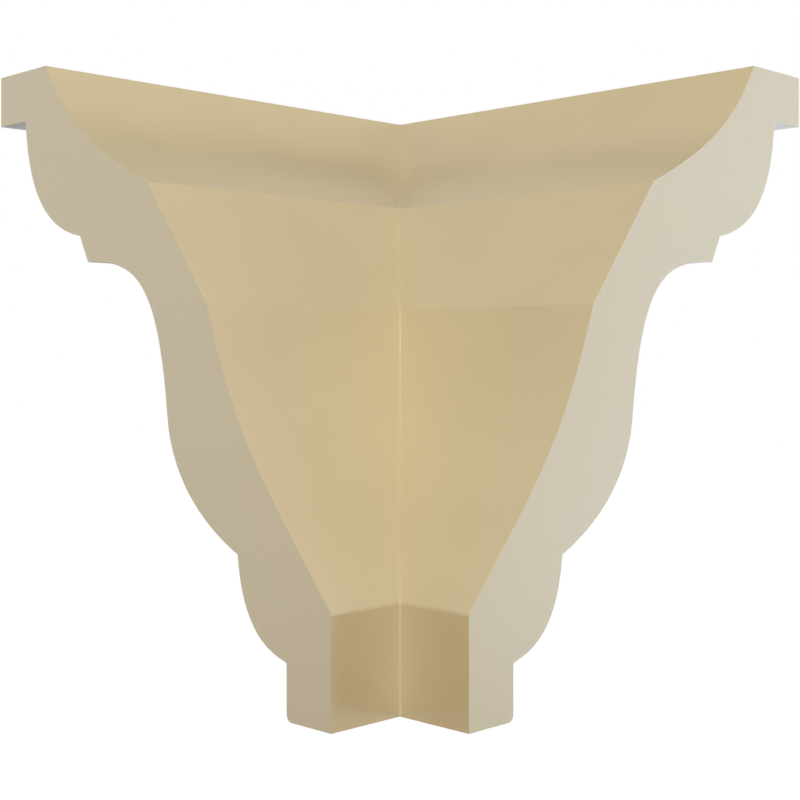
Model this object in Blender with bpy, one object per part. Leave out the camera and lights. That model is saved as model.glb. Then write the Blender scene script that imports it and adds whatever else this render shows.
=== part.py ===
# Outside corner block for a crown moulding, cast in one piece of rigid foam.
#
# Two short arms of one moulding section meet in a mitre. The block wraps the outside corner of a wall:
# the wall fills the quarter x > 0, y > 0, its two faces lie in the planes x = 0 and y = 0, and the
# ceiling is at z = HEIGHT. The origin is the foot of the arris where the two wall seats meet.
# Units are metres, +Z is up.

import math

import bpy
import bmesh
from mathutils import Vector
from mathutils.geometry import interpolate_bezier

MM = 0.001

# Driving dimensions of the block
HEIGHT = 146.05 * MM          # foot to ceiling
PROJECTION = 127.0 * MM       # wall to the front of the top fillet
ARM_LENGTH = 19.05 * MM       # run of each arm past the wall's corner

# Front of the section: points are (projection from the wall, height)
FOOT_DEPTH = 13.4 * MM
FOOT_HEIGHT = 11.8 * MM
FOOT_ROUND = 1.5 * MM
OVOLO_TOP = (29.2 * MM, 32.2 * MM)
OGEE_TURN = (54.2 * MM, 61.0 * MM)
OGEE_TOP = (86.2 * MM, 96.4 * MM)
CROWN_FOOT = (89.7 * MM, 102.9 * MM)
CROWN_DEPTH = 114.8 * MM
FILLET_HEIGHT = 12.7 * MM

# Back of the section: it leans away from the wall, down to a narrow seat on it
CEILING_SEAT = 21.8 * MM
COVE_FOOT = (62.1 * MM, 113.6 * MM)
SLOPE_FOOT = (39.8 * MM, 85.2 * MM)
SEAT_EASE = (0.4 * MM, 23.9 * MM)
WALL_SEAT = 22.8 * MM

CURVE_STEPS = 26
EASE_STEPS = 5


def curve(start, end, leaves, arrives, steps=CURVE_STEPS):
    """Points from start up to, but without, end along one smooth bow.

    leaves and arrives are (direction, pull): the direction of travel in degrees, 0 away from the
    wall and 90 upwards, and the length over which the bow holds to it.
    """
    start, end = Vector(start), Vector(end)
    ways = [Vector((math.cos(math.radians(a)), math.sin(math.radians(a)))) * pull
            for a, pull in (leaves, arrives)]
    points = interpolate_bezier(start, start + ways[0], end - ways[1], end, steps + 1)
    return [(p.x, p.y) for p in points[:-1]]


def section():
    """Outline of the moulding, from the wall along the foot, up the front and down the back."""
    soffit = HEIGHT - FILLET_HEIGHT
    ceiling_edge = (PROJECTION - CEILING_SEAT, HEIGHT)
    foot_pull = 0.55 * FOOT_ROUND
    foot = [(0, 0)]
    foot += curve((FOOT_DEPTH - FOOT_ROUND, 0), (FOOT_DEPTH, FOOT_ROUND),
                  (0, foot_pull), (90, foot_pull), EASE_STEPS)
    foot += [(FOOT_DEPTH, FOOT_ROUND)]
    front = curve((FOOT_DEPTH, FOOT_HEIGHT), OVOLO_TOP, (20, 3.5 * MM), (84, 18 * MM))
    front += curve(OVOLO_TOP, OGEE_TURN, (24, 25 * MM), (83, 4 * MM))
    front += curve(OGEE_TURN, OGEE_TOP, (83, 30 * MM), (1, 20 * MM))
    front += [OGEE_TOP]
    front += curve(CROWN_FOOT, (CROWN_DEPTH, soffit), (9, 22 * MM), (85, 9 * MM))
    front += [(CROWN_DEPTH, soffit), (PROJECTION, soffit), (PROJECTION, HEIGHT)]
    back = curve(ceiling_edge, COVE_FOOT, (237, 15 * MM), (203, 30 * MM))
    back += [COVE_FOOT]
    back += curve(SLOPE_FOOT, SEAT_EASE, (251, 30.5 * MM), (230, 32.3 * MM))
    back += curve(SEAT_EASE, (0, WALL_SEAT), (230, 0.45 * MM), (270, 0.45 * MM), EASE_STEPS)
    back += [(0, WALL_SEAT)]
    return foot + front + back


def to_mitre(at):
    """Where a point of the first arm's end lands when it is run back to the mitre plane."""
    return (at.y, at.y, at.z)


def to_far_end(at):
    """Where a point of the mitre lands when it is run out to the second arm's end."""
    return (at.x, ARM_LENGTH, at.z)


def sweep_block(name):
    """Draw the section on the end of one arm, run it to the mitre, then out along the other arm."""
    shape = bmesh.new()
    outline = [shape.verts.new((ARM_LENGTH, -depth, height)) for depth, height in section()]
    leading = shape.faces.new(outline)
    for place in (to_mitre, to_far_end):
        swept = bmesh.ops.extrude_face_region(shape, geom=[leading, *leading.edges])["geom"]
        leading = next(item for item in swept if isinstance(item, bmesh.types.BMFace))
        for vert in leading.verts:
            vert.co = place(vert.co)
    bmesh.ops.recalc_face_normals(shape, faces=shape.faces)
    mesh = bpy.data.meshes.new(name)
    shape.to_mesh(mesh)
    shape.free()
    return mesh


def finish(name, colour, roughness):
    """Plain dielectric material."""
    material = bpy.data.materials.new(name)
    material.use_nodes = True
    surface = material.node_tree.nodes["Principled BSDF"]
    surface.inputs["Base Color"].default_value = (*colour, 1)
    surface.inputs["Roughness"].default_value = roughness
    surface.inputs["Metallic"].default_value = 0
    material.diffuse_color = (*colour, 1)
    return material


def paint(mesh):
    """Tan cast skin towards the wall and ceiling, pale foam on the two cut ends, primer in front."""
    mesh.materials.append(finish("foam_skin", (0.60, 0.49, 0.29), 0.55))
    mesh.materials.append(finish("cut_foam", (0.66, 0.61, 0.50), 0.8))
    mesh.materials.append(finish("white_primer", (0.80, 0.80, 0.78), 0.6))
    skin, cut, primer = range(3)
    for face in mesh.polygons:
        on_end = max(face.center.x, face.center.y) > ARM_LENGTH - 0.1 * MM
        faces_room = face.normal.x + face.normal.y < 0.01 and face.normal.z < 0.99
        face.material_index = cut if on_end else primer if faces_room else skin


for leftover in list(bpy.data.objects):
    bpy.data.objects.remove(leftover)

block_mesh = sweep_block("corner_moulding")
paint(block_mesh)
block_mesh.shade_smooth()
block_mesh.set_sharp_from_angle(angle=math.radians(20))
block = bpy.data.objects.new("corner_moulding", block_mesh)
bpy.context.scene.collection.objects.link(block)
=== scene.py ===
import math

import bpy
import bmesh
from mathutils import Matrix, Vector
from mathutils.geometry import interpolate_bezier


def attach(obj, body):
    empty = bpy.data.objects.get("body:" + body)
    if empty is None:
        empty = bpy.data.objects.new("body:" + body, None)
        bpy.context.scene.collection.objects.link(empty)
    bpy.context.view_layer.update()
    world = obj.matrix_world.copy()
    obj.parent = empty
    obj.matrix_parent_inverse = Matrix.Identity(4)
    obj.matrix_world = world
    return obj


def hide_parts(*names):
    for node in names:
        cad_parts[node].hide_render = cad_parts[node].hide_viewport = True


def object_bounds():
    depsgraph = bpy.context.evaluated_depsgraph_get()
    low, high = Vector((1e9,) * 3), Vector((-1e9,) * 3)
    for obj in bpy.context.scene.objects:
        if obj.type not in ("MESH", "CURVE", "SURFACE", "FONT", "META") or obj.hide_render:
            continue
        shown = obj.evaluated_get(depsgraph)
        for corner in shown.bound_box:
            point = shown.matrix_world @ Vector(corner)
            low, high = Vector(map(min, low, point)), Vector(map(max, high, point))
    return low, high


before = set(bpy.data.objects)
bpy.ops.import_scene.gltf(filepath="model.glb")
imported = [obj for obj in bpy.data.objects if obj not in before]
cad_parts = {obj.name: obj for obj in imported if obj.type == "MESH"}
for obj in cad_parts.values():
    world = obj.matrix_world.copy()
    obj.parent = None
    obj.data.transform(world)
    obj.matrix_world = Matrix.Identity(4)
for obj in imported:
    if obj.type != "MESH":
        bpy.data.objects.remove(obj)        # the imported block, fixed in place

cadLow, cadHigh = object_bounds()
blockHeight = cadHigh.z - cadLow.z
print("frame loaded: block", round(blockHeight * 1000, 1), "mm high")


# Moulding block: one casting, drawn as a section and swept round the mitre
# points are (out from the wall, up from the foot), in metres
# a bow is how a curve leaves and arrives: (direction in degrees, pull in metres), 0 outward, 90 up
moulding = {
    "projection": -cadLow.y,
    "armLength": cadHigh.x,
    "footDepth": 0.0134,
    "footHeight": 0.0118,
    "footRound": 0.0015,
    "quarterPull": 0.55,        # pull that rounds a quarter turn, as a share of its radius
    "ovoloBow": ((20, 0.0035), (84, 0.018)),
    "ovoloTop": (0.0292, 0.0322),
    "ogeeLowBow": ((24, 0.025), (83, 0.004)),
    "ogeeTurn": (0.0542, 0.0610),
    "ogeeHighBow": ((83, 0.030), (1, 0.020)),
    "ogeeTop": (0.0862, 0.0964),
    "crownFoot": (0.0897, 0.1029),
    "crownBow": ((9, 0.022), (85, 0.009)),
    "crownDepth": 0.1148,
    "filletHeight": 0.0127,
    "ceilingSeat": 0.0218,
    "coveBow": ((237, 0.015), (203, 0.030)),
    "coveFoot": (0.0621, 0.1136),
    "slopeFoot": (0.0398, 0.0852),
    "hollowBow": ((251, 0.0305), (230, 0.0323)),
    "seatEase": (0.0004, 0.0239),
    "easeBow": ((230, 0.00045), (270, 0.00045)),
    "wallSeat": 0.0228,
    "curveSteps": 44,
    "easeSteps": 8,
    "creaseRound": (0.00035, 4),     # moulded-in radius along the inner corner line, and its segments
    "edgeRound": (0.00012, 2),       # every other cast edge
    "sawnRound": (0.00004, 1),       # edges left by the saw at both arm ends
    "sharpAngle": 14,
    "onMitreWithin": 0.000001,
    "onEndWithin": 0.0001,
    "mergeWithin": 0.000003,         # closes the needle faces left where roundings meet
    "turnedOut": 0.01,               # faces whose normal's x + y is below this look into the room
    "turnedUp": 0.99,                # faces turned up more than this are the ceiling seat
}
skinSlot, cutSlot, primerSlot = range(3)


def bow(start, end, leaves, arrives, steps=moulding["curveSteps"]):
    start, end = Vector(start), Vector(end)
    ways = []
    for angle, pull in (leaves, arrives):
        turn = math.radians(angle)
        ways.append(Vector((math.cos(turn), math.sin(turn))) * pull)
    points = interpolate_bezier(start, start + ways[0], end - ways[1], end, steps + 1)
    return [(p.x, p.y) for p in points[:-1]]


def mouldingSection():
    m = moulding
    soffit = blockHeight - m["filletHeight"]
    ceilingEdge = (m["projection"] - m["ceilingSeat"], blockHeight)
    footPull = m["quarterPull"] * m["footRound"]
    foot = [(0, 0)]
    foot += bow((m["footDepth"] - m["footRound"], 0), (m["footDepth"], m["footRound"]),
                (0, footPull), (90, footPull), m["easeSteps"])
    foot += [(m["footDepth"], m["footRound"])]
    front = bow((m["footDepth"], m["footHeight"]), m["ovoloTop"], *m["ovoloBow"])
    front += bow(m["ovoloTop"], m["ogeeTurn"], *m["ogeeLowBow"])
    front += bow(m["ogeeTurn"], m["ogeeTop"], *m["ogeeHighBow"])
    front += [m["ogeeTop"]]
    front += bow(m["crownFoot"], (m["crownDepth"], soffit), *m["crownBow"])
    front += [(m["crownDepth"], soffit), (m["projection"], soffit), (m["projection"], blockHeight)]
    back = bow(ceilingEdge, m["coveFoot"], *m["coveBow"])
    back += [m["coveFoot"]]
    back += bow(m["slopeFoot"], m["seatEase"], *m["hollowBow"])
    back += bow(m["seatEase"], (0, m["wallSeat"]), *m["easeBow"], m["easeSteps"])
    back += [(0, m["wallSeat"])]
    return foot + front + back


def runBackToMitre(at):
    return (at.y, at.y, at.z)


def runOutToArmEnd(at):
    return (at.x, moulding["armLength"], at.z)


def sharpEdges(shape):
    limit = math.radians(moulding["sharpAngle"])
    return [e for e in shape.edges if len(e.link_faces) == 2 and e.calc_face_angle(0) > limit]


def softenEdges(shape, edges, rounding):
    width, segments = rounding
    bmesh.ops.bevel(shape, geom=edges, offset=width, offset_type="OFFSET", affect="EDGES",
                    segments=segments, profile=0.5, material=-1, clamp_overlap=True)


def finishOf(face):
    if max(face.calc_center_median().xy) > moulding["armLength"] - moulding["onEndWithin"]:
        return cutSlot
    outward = face.normal.x + face.normal.y < moulding["turnedOut"]
    underCeiling = face.normal.z < moulding["turnedUp"]
    return primerSlot if outward and underCeiling else skinSlot


def isSawn(edge):
    return any(face.material_index == cutSlot for face in edge.link_faces)


def isOnMitre(edge):
    return all(abs(vert.co.x - vert.co.y) < moulding["onMitreWithin"] for vert in edge.verts)


def makeMoulding():
    shape = bmesh.new()
    outline = [shape.verts.new((moulding["armLength"], -out, up)) for out, up in mouldingSection()]
    leading = shape.faces.new(outline)
    for place in (runBackToMitre, runOutToArmEnd):
        swept = bmesh.ops.extrude_face_region(shape, geom=[leading, *leading.edges])["geom"]
        leading = next(item for item in swept if isinstance(item, bmesh.types.BMFace))
        for vert in leading.verts:
            vert.co = place(vert.co)
    bmesh.ops.recalc_face_normals(shape, faces=shape.faces)
    for face in shape.faces:
        face.material_index = finishOf(face)
    onMitre = [e for e in sharpEdges(shape) if isOnMitre(e)]
    crease = [e for e in onMitre if all(f.material_index == skinSlot for f in e.link_faces)]
    softenEdges(shape, crease, moulding["creaseRound"])
    softenEdges(shape, [e for e in sharpEdges(shape) if not isSawn(e)], moulding["edgeRound"])
    softenEdges(shape, [e for e in sharpEdges(shape) if isSawn(e)], moulding["sawnRound"])
    bmesh.ops.remove_doubles(shape, verts=shape.verts, dist=moulding["mergeWithin"])
    mesh = bpy.data.meshes.new("cornerMoulding")
    shape.to_mesh(mesh)
    shape.free()
    mesh.shade_smooth()
    piece = bpy.data.objects.new("cornerMoulding", mesh)
    bpy.context.scene.collection.objects.link(piece)
    flat = piece.modifiers.new("flatFacesStayFlat", "WEIGHTED_NORMAL")
    flat.keep_sharp = True
    return piece


block = makeMoulding()
print("moulding swept:", len(block.data.polygons), "faces")


# Short ways to add and join shader nodes
def addNode(tree, kind, **inputs):
    node = tree.nodes.new(kind)
    for name, value in inputs.items():
        if isinstance(value, bpy.types.NodeSocket):
            tree.links.new(value, node.inputs[name])
        else:
            node.inputs[name].default_value = value
    return node


def addMath(tree, operation, *values):
    node = tree.nodes.new("ShaderNodeMath")
    node.operation = operation
    for socket, value in zip(node.inputs, values):
        if isinstance(value, bpy.types.NodeSocket):
            tree.links.new(value, socket)
        else:
            socket.default_value = value
    return node


def addColourMix(tree, share, first, second):
    node = tree.nodes.new("ShaderNodeMix")
    node.data_type = "RGBA"
    tree.links.new(share, node.inputs["Factor"])
    for name, value in (("A", first), ("B", second)):
        socket = next(s for s in node.inputs if s.name == name and s.type == "RGBA")
        if isinstance(value, bpy.types.NodeSocket):
            tree.links.new(value, socket)
        else:
            socket.default_value = (*value, 1)
    return next(s for s in node.outputs if s.type == "RGBA")


# Casting grain, shared by all three finishes: slow mottle, fine relief, scattered pinholes
castGrain = {
    "mottleDetail": 3.0,
    "mottleRange": (0.32, 0.68),     # part of the noise that runs from one shade to the other
    "grainDetail": 2.0,
    "pitFloor": 0.04,                # radii in cells of the pinhole pattern
    "pitRim": 0.11,
}


def makeCastingGrain():
    g = castGrain
    tree = bpy.data.node_groups.new("castingGrain", "ShaderNodeTree")
    tree.interface.new_socket("Vector", in_out="INPUT", socket_type="NodeSocketVector")
    for name in ("Mottle Scale", "Grain Scale", "Pit Scale", "Pit Share", "Pit Depth"):
        tree.interface.new_socket(name, in_out="INPUT", socket_type="NodeSocketFloat")
    for name in ("Mottle", "Pits", "Height"):
        tree.interface.new_socket(name, in_out="OUTPUT", socket_type="NodeSocketFloat")
    given = tree.nodes.new("NodeGroupInput").outputs
    result = tree.nodes.new("NodeGroupOutput").inputs
    where = given["Vector"]
    mottle = addNode(tree, "ShaderNodeTexNoise", Vector=where,
                     Scale=given["Mottle Scale"], Detail=g["mottleDetail"])
    slow = addNode(tree, "ShaderNodeMapRange", Value=mottle.outputs["Fac"],
                   **{"From Min": g["mottleRange"][0], "From Max": g["mottleRange"][1]})
    grain = addNode(tree, "ShaderNodeTexNoise", Vector=where,
                    Scale=given["Grain Scale"], Detail=g["grainDetail"])
    cells = addNode(tree, "ShaderNodeTexVoronoi", Vector=where, Scale=given["Pit Scale"])
    lot = addNode(tree, "ShaderNodeSeparateColor", Color=cells.outputs["Color"])
    picked = addMath(tree, "LESS_THAN", lot.outputs["Red"], given["Pit Share"])
    bowl = addNode(tree, "ShaderNodeMapRange", Value=cells.outputs["Distance"],
                   **{"From Min": g["pitFloor"], "From Max": g["pitRim"], "To Min": 1.0, "To Max": 0.0})
    bowl.interpolation_type = "SMOOTHSTEP"
    pits = addMath(tree, "MULTIPLY", picked.outputs[0], bowl.outputs["Result"])
    sunk = addMath(tree, "MULTIPLY", pits.outputs[0], given["Pit Depth"])
    height = addMath(tree, "SUBTRACT", grain.outputs["Fac"], sunk.outputs[0])
    tree.links.new(slow.outputs["Result"], result["Mottle"])
    tree.links.new(pits.outputs[0], result["Pits"])
    tree.links.new(height.outputs[0], result["Height"])
    return tree


# Finishes: sizes are the pattern's own, in metres, and relief is the bump's full depth
skin = {
    "colour": (0.61, 0.50, 0.30),
    "mottleShade": 0.97,
    "pitPaintedShade": 0.93,
    "roughness": (0.28, 0.34),
    "mottleSize": 0.030,
    "grainSize": 0.0016,
    "pitSize": 0.0028,
    "pitShare": 0.07,
    "pitDepth": 1.5,
    "relief": 0.000012,
}
cutFoam = {
    "colour": (0.58, 0.50, 0.34),
    "mottleShade": 0.98,
    "pitPaintedShade": 0.90,
    "roughness": (0.28, 0.34),
    "mottleSize": 0.018,
    "grainSize": 0.0005,
    "pitSize": 0.0012,
    "pitShare": 0.22,
    "pitDepth": 2.0,
    "relief": 0.000010,
}
primer = {
    "colour": (0.76, 0.76, 0.75),
    "mottleShade": 0.985,
    "pitPaintedShade": 0.95,
    "roughness": (0.44, 0.52),
    "mottleSize": 0.040,
    "grainSize": 0.0026,
    "pitSize": 0.0060,
    "pitShare": 0.06,
    "pitDepth": 1.0,
    "relief": 0.000030,
}
# painted shade on the wall seat: how far its colour is darkened and browned, and over what distance from
# the corner
seatPaintedShade = {"shade": (1.0, 0.96, 0.875), "from": 0.002, "to": 0.013}
overspray = {"reach": 0.0035, "fade": 0.0030, "wander": 0.0030, "wanderSize": 0.012, "wanderDetail": 4.0}


def shaded(colour, share):
    return tuple(channel * share for channel in colour)


def makeFinish(name, look, grainGroup):
    material = bpy.data.materials.new(name)
    material.use_nodes = True
    tree = material.node_tree
    surface = tree.nodes["Principled BSDF"]
    where = tree.nodes.new("ShaderNodeTexCoord").outputs["Object"]
    grain = tree.nodes.new("ShaderNodeGroup")
    grain.node_tree = grainGroup
    tree.links.new(where, grain.inputs["Vector"])
    for pattern in ("mottle", "grain", "pit"):
        grain.inputs[pattern.title() + " Scale"].default_value = 1 / look[pattern + "Size"]
    grain.inputs["Pit Share"].default_value = look["pitShare"]
    grain.inputs["Pit Depth"].default_value = look["pitDepth"]
    mottleColour = shaded(look["colour"], look["mottleShade"])
    # painted shade: pinholes are darkened in colour as well as sunk by the bump
    pitShadedColour = shaded(look["colour"], look["pitPaintedShade"])
    mottled = addColourMix(tree, grain.outputs["Mottle"], mottleColour, look["colour"])
    pitted = addColourMix(tree, grain.outputs["Pits"], mottled, pitShadedColour)
    tree.links.new(pitted, surface.inputs["Base Color"])
    dull = addNode(tree, "ShaderNodeMapRange", Value=grain.outputs["Mottle"],
                   **{"To Min": look["roughness"][0], "To Max": look["roughness"][1]})
    tree.links.new(dull.outputs["Result"], surface.inputs["Roughness"])
    relief = addNode(tree, "ShaderNodeBump", Height=grain.outputs["Height"], Distance=look["relief"])
    tree.links.new(relief.outputs["Normal"], surface.inputs["Normal"])
    return material


def paintShadeOnWallSeat(material):
    # painted shade: the seat that rests on the wall is made browner and darker away from the corner,
    # standing in for the shade and warm bounce light that fall in the seat
    tree = material.node_tree
    baseColour = tree.nodes["Principled BSDF"].inputs["Base Color"]
    where = tree.nodes.new("ShaderNodeTexCoord").outputs["Object"]
    axes = addNode(tree, "ShaderNodeSeparateXYZ", Vector=where).outputs
    outward = addMath(tree, "MAXIMUM", axes["X"], axes["Y"])
    spread = addNode(tree, "ShaderNodeMapRange", Value=outward.outputs[0],
                     **{"From Min": seatPaintedShade["from"], "From Max": seatPaintedShade["to"]})
    onSeat = addMath(tree, "LESS_THAN", axes["Z"], moulding["wallSeat"])
    share = addMath(tree, "MULTIPLY", spread.outputs["Result"], onSeat.outputs[0])
    bare = baseColour.links[0].from_socket
    seatShaded = addNode(tree, "ShaderNodeVectorMath", Vector=bare)
    seatShaded.operation = "MULTIPLY"
    seatShaded.inputs[1].default_value = seatPaintedShade["shade"]
    seated = addColourMix(tree, share.outputs[0], bare, seatShaded.outputs["Vector"])
    tree.links.new(seated, baseColour)


def sprayPrimerOver(material):
    # primer that drifted past the crown onto the ceiling seat, with a wandering edge
    tree = material.node_tree
    baseColour = tree.nodes["Principled BSDF"].inputs["Base Color"]
    where = tree.nodes.new("ShaderNodeTexCoord").outputs["Object"]
    axes = addNode(tree, "ShaderNodeSeparateXYZ", Vector=where).outputs
    inward = addMath(tree, "MINIMUM", axes["X"], axes["Y"])
    wander = addNode(tree, "ShaderNodeTexNoise", Vector=where,
                     Scale=1 / overspray["wanderSize"], Detail=overspray["wanderDetail"])
    edge = addMath(tree, "MULTIPLY_ADD", wander.outputs["Fac"], overspray["wander"], inward.outputs[0])
    sprayedTo = overspray["reach"] - moulding["projection"]
    drift = addNode(tree, "ShaderNodeMapRange", Value=edge.outputs[0],
                    **{"From Min": sprayedTo, "From Max": sprayedTo + overspray["fade"],
                       "To Min": 1.0, "To Max": 0.0})
    bare = baseColour.links[0].from_socket
    sprayed = addColourMix(tree, drift.outputs["Result"], bare, primer["colour"])
    tree.links.new(sprayed, baseColour)


castingGrain = makeCastingGrain()
# in the order of skinSlot, cutSlot and primerSlot
for name, look in (("mouldedSkin", skin), ("cutFoam", cutFoam), ("whitePrimer", primer)):
    block.data.materials.append(makeFinish(name, look, castingGrain))
paintShadeOnWallSeat(bpy.data.materials["mouldedSkin"])
sprayPrimerOver(bpy.data.materials["mouldedSkin"])
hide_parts("corner_moulding")
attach(block, "root")
print("finishes on")


# Room: pale floor well below the block, since the wall that holds it isn't shown
room = {
    "floorDrop": 1.0,
    "floorSize": 30.0,
    "floorRoughness": 1.0,
    "floorGlow": 1.0,
    "white": (1.0, 1.0, 1.0),
    "skyFill": 0.05,
    "skySeen": 1.0,
}


def makeFloor():
    shape = bmesh.new()
    bmesh.ops.create_grid(shape, x_segments=1, y_segments=1, size=room["floorSize"] / 2)
    bmesh.ops.translate(shape, verts=shape.verts, vec=(0, 0, cadLow.z - room["floorDrop"]))
    mesh = bpy.data.meshes.new("floor")
    shape.to_mesh(mesh)
    shape.free()
    floor = bpy.data.objects.new("floor", mesh)
    bpy.context.scene.collection.objects.link(floor)
    material = bpy.data.materials.new("paleFloor")
    material.use_nodes = True
    surface = material.node_tree.nodes["Principled BSDF"]
    surface.inputs["Base Color"].default_value = (*room["white"], 1)
    surface.inputs["Roughness"].default_value = room["floorRoughness"]
    surface.inputs["Emission Color"].default_value = (*room["white"], 1)
    surface.inputs["Emission Strength"].default_value = room["floorGlow"]
    floor.data.materials.append(material)
    floor.visible_diffuse = False      # the floor neither lights nor shades the block
    floor.visible_glossy = False
    floor.visible_shadow = False


def makeSky():
    # the camera sees plain white; the block gets only a faint fill from it
    world = bpy.data.worlds.new("whiteStudio")
    bpy.context.scene.world = world
    world.use_nodes = True
    tree = world.node_tree
    backdrop = tree.nodes["Background"]
    backdrop.inputs["Color"].default_value = (*room["white"], 1)
    seen = tree.nodes.new("ShaderNodeLightPath").outputs["Is Camera Ray"]
    strength = addNode(tree, "ShaderNodeMapRange", Value=seen,
                       **{"To Min": room["skyFill"], "To Max": room["skySeen"]})
    tree.links.new(strength.outputs["Result"], backdrop.inputs["Strength"])


# Lamps: soft round ones, all aimed at the block; bearing 0 is the camera's side and 90 is picture right
studio = {
    "aim": (-0.03, -0.03, 0.075),
    "reach": 1.2,
    "lamps": {     # bearing, rise, width in metres, watts, coolness (above 0 is bluer, below is warmer)
        "key": (0, 45, 0.9, 10, 0.04),
        "lowKey": (0, 12, 1.0, 7, -0.1),
        "rightPanel": (100, 0, 0.9, 5.2, 0.1),
        "rightLow": (112, -15, 0.5, 1.5, 0.1),
        "rightHigh": (90, 30, 0.9, 1, 0.1),
        "rightTop": (125, 50, 0.9, 0.5, 0),
        "leftPanel": (-100, 0, 0.9, 3.2, -0.05),
        "leftHigh": (-120, 35, 0.9, 1, 0.1),
        "leftTop": (-160, 50, 0.5, 0.25, -0.1),
        "coveRim": (180, 25, 0.5, 0.5, -0.1),
        "underRight": (160, -12, 0.5, 2.4, 0),
        "underLeft": (-160, -12, 0.5, 1.2, 0),
        "frontRight": (145, 12, 0.9, 6, 0),
        "frontLeft": (-145, 12, 0.9, 5, 0),
    },
}


def hangLamp(name, bearing, rise, width, watts, coolness):
    towardCamera = Vector((1, 1, 0)).normalized()
    pictureRight = Vector((-1, 1, 0)).normalized()
    turn, lift = math.radians(bearing), math.radians(rise)
    level = towardCamera * math.cos(turn) + pictureRight * math.sin(turn)
    outward = level * math.cos(lift) + Vector((0, 0, math.sin(lift)))
    light = bpy.data.lights.new(name, "AREA")
    light.shape = "DISK"
    light.size = width
    brightest = 1 + abs(coolness)
    light.color = ((1 - coolness) / brightest, 1 / brightest, (1 + coolness) / brightest)
    light.energy = watts * brightest
    lamp = bpy.data.objects.new(name, light)
    bpy.context.scene.collection.objects.link(lamp)
    lamp.location = Vector(studio["aim"]) + outward * studio["reach"]
    lamp.rotation_euler = (-outward).to_track_quat("-Z", "Y").to_euler()


makeFloor()
makeSky()
for name, setting in studio["lamps"].items():
    hangLamp(name, *setting)
bpy.context.scene.view_settings.view_transform = "Standard"


# Camera: level, on the line that halves the wall's corner, from where the building would be
view = {
    "distance": 0.28926,
    "height": 0.07308,
    "tilt": 90,
    "turn": 135,
    "lens": 63.55,
    "sensor": 36.0,
    "shiftDown": 0.05,
    "nearest": 0.01,
}


def makeCamera():
    camera = bpy.data.objects.new("camera", bpy.data.cameras.new("camera"))
    bpy.context.scene.collection.objects.link(camera)
    side = view["distance"] / math.sqrt(2)
    camera.location = (side, side, view["height"])
    camera.rotation_euler = (math.radians(view["tilt"]), 0, math.radians(view["turn"]))
    camera.data.sensor_width = view["sensor"]
    camera.data.lens = view["lens"]
    camera.data.shift_y = -view["shiftDown"]
    camera.data.clip_start = view["nearest"]
    bpy.context.scene.camera = camera


makeCamera()
print("studio set")
